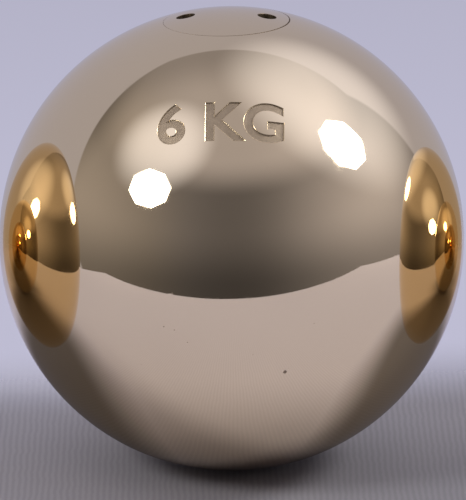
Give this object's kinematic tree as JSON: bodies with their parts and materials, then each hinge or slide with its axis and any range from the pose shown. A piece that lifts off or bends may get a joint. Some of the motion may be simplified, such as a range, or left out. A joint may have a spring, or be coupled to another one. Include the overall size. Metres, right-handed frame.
{
  "type": "shot put ball",
  "caption": "Polished brass competition shot: a thick turned shell cast full of lead, closed by a flush domed screw plug with blind spanner holes over a trim-weight pocket.",
  "frame": {"origin": "centre of the ball", "axes": "+Z out along the screw plug's axis, with the two spanner holes on the X axis"},
  "size_m": [0.106, 0.106, 0.106],
  "materials": {
    "polished_brass": "mirror polished, with fine lapping lines and a few pores",
    "plug_brass": "mirror polished dome, turned shank",
    "cast_lead": "dull as-cast lead",
    "lead_shot": "dull lead pellets",
    "packing_cork": "pressed cork",
    "red_fibre": "vulcanised fibre, matt"
  },
  "bodies": {
    "ball": {"shell": "polished_brass", "lead_core": "cast_lead", "trim_pellets": "lead_shot", "packing_disc": "packing_cork"},
    "washer": {"seal_washer": "red_fibre"},
    "plug": {"screw_plug": "plug_brass"}
  },
  "joints": [
    {"name": "plug_rise", "type": "slide", "parent": "ball", "child": "washer", "axis": [0, 0, 1], "range_m": [0, 0.0075]},
    {"name": "plug_turn", "type": "hinge", "parent": "washer", "child": "plug", "pos_m": [0, 0, 0.046], "axis": [0, 0, 1], "range_deg": [0, 1800]}
  ],
  "couplings": [
    {"joint": "plug_rise", "follows": "plug_turn", "m_per_rad": 0.00023873}
  ]
}
